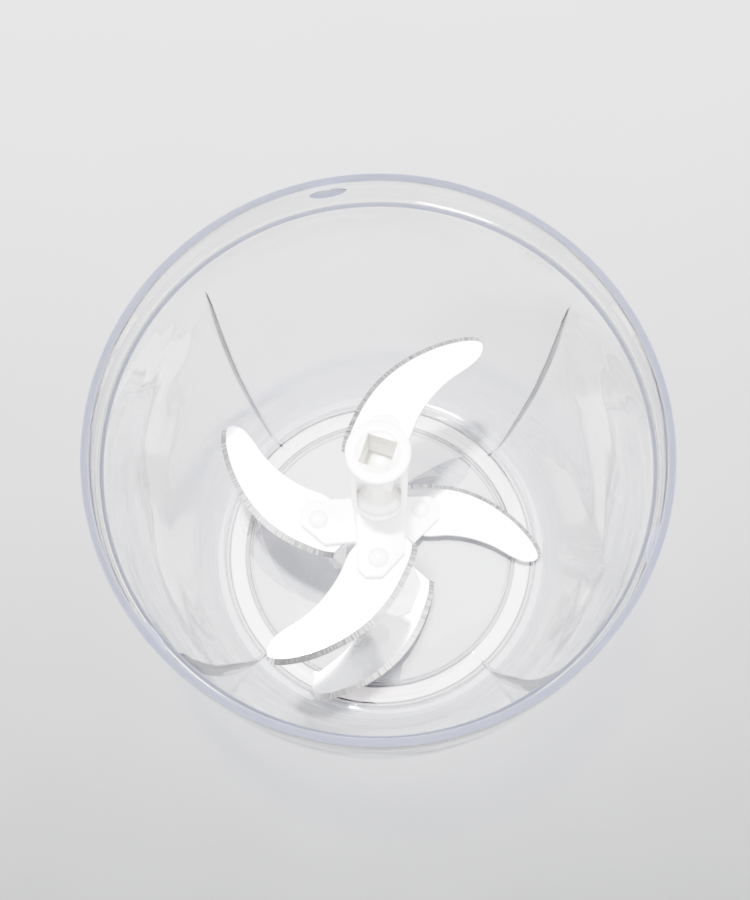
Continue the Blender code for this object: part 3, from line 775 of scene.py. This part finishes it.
def white_plastic():
    """Glossy white moulded plastic with a fine satin texture; the darker, warmer colour inside the hub's
    windows and socket is painted shade.
    """
    graph = Graph("white_plastic")
    graph.set(IOR=1.5, Subsurface_Weight=0.05, Subsurface_Scale=0.002)
    graph.shader.inputs["Subsurface Radius"].default_value = (1.0, 0.9, 0.75)
    height = graph.height()
    top = COLUMN_HIGH.z
    # painted shade: darker and warmer near the axis between the window sill and the head, where the windows
    # and the socket are recessed
    near_axis = graph.spread(graph.radius(), 1.0, 0.0, 0.0046, 0.0048)
    below_head = graph.spread(height, 1.0, 0.0, top - 0.0010, top - 0.0004)
    above_sill = graph.spread(height, 0.0, 1.0, WINDOW_BOTTOM + 0.0005, WINDOW_BOTTOM + 0.0030)
    painted_recess_shade = graph.math("MULTIPLY", graph.math("MULTIPLY", near_axis, below_head), above_sill)
    shell = graph.mix(graph.noise(60.0), (0.93, 0.926, 0.918), (0.96, 0.956, 0.948))
    graph.link(graph.mix(painted_recess_shade, shell, (0.60, 0.58, 0.54)), graph.shader.inputs["Base Color"])
    graph.link(graph.spread(graph.noise(300.0), 0.20, 0.34), graph.shader.inputs["Roughness"])
    graph.bump(graph.noise(1800.0), 0.08, 0.0001)
    return graph.material


def nylon():
    graph = Graph("bearing_nylon")
    graph.set(IOR=1.53, Subsurface_Weight=0.1, Subsurface_Scale=0.003)
    tint = graph.mix(graph.noise(120.0), (0.80, 0.78, 0.72), (0.86, 0.85, 0.80))
    graph.link(tint, graph.shader.inputs["Base Color"])
    graph.link(graph.spread(graph.noise(500.0), 0.38, 0.52), graph.shader.inputs["Roughness"])
    graph.bump(graph.noise(2500.0), 0.15, 0.0001)
    return graph.material


def polished_steel():
    """Polished steel with very fine random scratches along the face."""
    graph = Graph("polished_steel")
    graph.set(Metallic=1.0)
    tint = graph.mix(graph.noise(40.0), (0.72, 0.72, 0.735), (0.80, 0.80, 0.81))
    graph.link(tint, graph.shader.inputs["Base Color"])
    lines = graph.noise(1.0, 3.0, graph.stretched(graph.coords, (260.0, 2400.0, 600.0)))
    graph.link(graph.spread(lines, 0.05, 0.10), graph.shader.inputs["Roughness"])
    graph.bump(lines, 0.04, 0.00005)
    return graph.material


def ground_steel():
    """The cutting bevel: grinding marks run straight across it. The streaks are the marks' own; their dark
    tone is partly painted dark reflection.
    """
    graph = Graph("ground_steel")
    graph.set(Metallic=1.0)
    edge = graph.add("ShaderNodeUVMap")
    edge.uv_map = "along_edge"
    marks = graph.noise(1.0, 2.0, graph.stretched(edge.outputs["UV"], (2300.0, 90.0, 1.0)))
    # the streaks follow the grinding marks; the depth of their dark tone is painted dark reflection
    tint = graph.mix(graph.spread(marks, 0.0, 1.0, 0.38, 0.62), (0.24, 0.225, 0.215), (0.86, 0.86, 0.86))
    graph.link(tint, graph.shader.inputs["Base Color"])
    graph.link(graph.spread(marks, 0.34, 0.14), graph.shader.inputs["Roughness"])
    graph.bump(marks, 0.8, 0.00012)
    return graph.material


def turned_steel():
    """The pivot pin: darker steel with fine turning marks round it."""
    graph = Graph("turned_steel")
    graph.set(Metallic=1.0)
    lines = graph.noise(1.0, 3.0, graph.stretched(graph.coords, (60.0, 60.0, 5000.0)))
    tint = graph.mix(lines, (0.38, 0.38, 0.39), (0.56, 0.56, 0.57))
    graph.link(tint, graph.shader.inputs["Base Color"])
    graph.link(graph.spread(lines, 0.18, 0.30), graph.shader.inputs["Roughness"])
    graph.bump(lines, 0.3, 0.00004)
    return graph.material


def silicone():
    graph = Graph("silicone")
    graph.set(IOR=1.42, Subsurface_Weight=0.15, Subsurface_Scale=0.002)
    tint = graph.mix(graph.noise(120.0), (0.30, 0.272, 0.255), (0.36, 0.33, 0.31))
    graph.link(tint, graph.shader.inputs["Base Color"])
    graph.link(graph.spread(graph.noise(400.0), 0.42, 0.58), graph.shader.inputs["Roughness"])
    graph.bump(graph.noise(2200.0), 0.2, 0.0001)
    return graph.material


def floor_painted_falloff():
    """A matt table whose colour is painted light falloff: dark in front of the bowl, greyer behind it and pale
    further away.
    """
    graph = Graph("floor_painted_falloff")
    depth = graph.add("ShaderNodeSeparateXYZ", Vector=graph.coords).outputs["Y"]
    # painted shade: the colour grows lighter from the front of the bowl to behind it and outwards, standing in
    # for light falling off
    painted_falloff = graph.spread(depth, 0.0, 1.0, -0.13, 0.19)
    near = graph.mix(painted_falloff, (0.050, 0.0513, 0.0525), (0.300, 0.297, 0.304))
    far_away = graph.spread(graph.radius(), 0.0, 1.0, 0.24, 0.95)
    tint = graph.mix(far_away, near, (0.62, 0.62, 0.63))
    graph.link(tint, graph.shader.inputs["Base Color"])
    graph.link(graph.spread(graph.noise(30.0), 0.75, 0.85), graph.shader.inputs["Roughness"])
    return graph.material


# ---------------------------------------------------------------- camera, light and floor
def add_camera():
    """A camera above and in front, aimed at the middle of the rim and rolled a little."""
    elevation = math.radians(73.85)
    roll = math.radians(-1.61)
    distance = 0.3217
    shift_left = 0.00057
    shift_down = 0.00107
    forward = Vector((0.0, math.cos(elevation), -math.sin(elevation)))
    level_right = Vector((1.0, 0.0, 0.0))
    level_up = level_right.cross(forward)
    right = level_right * math.cos(roll) + level_up * math.sin(roll)
    up = level_up * math.cos(roll) - level_right * math.sin(roll)
    data = bpy.data.cameras.new("camera")
    data.lens = 64.0
    data.sensor_width = 36.0
    camera = bpy.data.objects.new("camera", data)
    bpy.context.scene.collection.objects.link(camera)
    rim_middle = Vector((0.0, 0.0, RIM_HEIGHT))
    place = rim_middle - forward * distance - right * shift_left - up * shift_down
    camera.matrix_world = Matrix((
        (right.x, up.x, -forward.x, place.x),
        (right.y, up.y, -forward.y, place.y),
        (right.z, up.z, -forward.z, place.z),
        (0.0, 0.0, 0.0, 1.0),
    ))
    bpy.context.scene.camera = camera


def add_area(name, place, target, size, power):
    """A rectangular area light that faces its target."""
    data = bpy.data.lights.new(name, "AREA")
    data.shape = "RECTANGLE"
    data.size, data.size_y = size
    data.energy = power
    light = bpy.data.objects.new(name, data)
    bpy.context.scene.collection.objects.link(light)
    light.location = place
    light.rotation_euler = (Vector(target) - Vector(place)).to_track_quat("-Z", "Y").to_euler()


def add_world(strength):
    """A pale room with one dark patch up at the front, where the photographer would stand."""
    patch_direction = (0.04, -0.82, 0.57)
    # cosines of the angles from that direction at which the patch starts and stops fading out
    patch_fade = (0.94, 0.80)
    world = bpy.data.worlds.new("soft_room")
    world.use_nodes = True
    tree = world.node_tree
    background = tree.nodes["Background"]
    background.inputs["Strength"].default_value = strength
    coords = tree.nodes.new("ShaderNodeTexCoord")
    toward = tree.nodes.new("ShaderNodeVectorMath")
    toward.operation = "DOT_PRODUCT"
    toward.inputs[1].default_value = patch_direction
    tree.links.new(coords.outputs["Generated"], toward.inputs[0])
    patch = tree.nodes.new("ShaderNodeMapRange")
    patch.interpolation_type = "SMOOTHSTEP"
    patch.inputs["From Min"].default_value = patch_fade[0]
    patch.inputs["From Max"].default_value = patch_fade[1]
    tree.links.new(toward.outputs["Value"], patch.inputs["Value"])
    shade = tree.nodes.new("ShaderNodeMix")
    shade.data_type = "RGBA"
    shade.inputs["A"].default_value = (0.06, 0.055, 0.05, 1.0)
    shade.inputs["B"].default_value = (0.97, 0.98, 1.0, 1.0)
    tree.links.new(patch.outputs["Result"], shade.inputs["Factor"])
    tree.links.new(shade.outputs["Result"], background.inputs["Color"])
    bpy.context.scene.world = world


def add_floor():
    """A wide floor just under the foot, so that the two don't flicker through each other."""
    half_width = 3.0
    below_foot = 0.0002
    bm = bmesh.new()
    bmesh.ops.create_grid(bm, x_segments=1, y_segments=1, size=half_width)
    mesh = bpy.data.meshes.new("floor")
    bm.to_mesh(mesh)
    bm.free()
    floor = bpy.data.objects.new("floor", mesh)
    floor.location.z = -below_foot
    bpy.context.scene.collection.objects.link(floor)
    mesh.materials.append(floor_painted_falloff())


add_camera()
add_floor()
add_world(strength=1.7)
add_area("key", place=(-0.068, 0.084, 1.2), target=(0.0, 0.0, 0.0), size=(0.05, 0.05), power=112.0)
add_area("softbox", place=(0.0, 0.30, 0.95), target=(0.0, 0.0, 0.05), size=(0.6, 0.45), power=22.0)
for side, x in (("left", -0.80), ("right", 0.80)):
    add_area(f"front_{side}", place=(x, -0.52, 0.26), target=(0.0, 0.0, 0.06), size=(0.5, 0.25), power=24.0)

white = white_plastic()
polished = polished_steel()
make_bowl(clear_plastic())
make_seal(silicone())
make_pin(turned_steel())
make_bush(nylon())
make_column(white)
for carrier_name in CARRIERS:
    make_carrier(carrier_name, white)
for spacer_name in ("upper_spacer", "lower_spacer"):
    make_spacer(spacer_name, white)
bevel_steel = ground_steel()
for blade_name in SWEEPS:
    make_blade(blade_name, polished, bevel_steel)
    make_stud(blade_name, white)
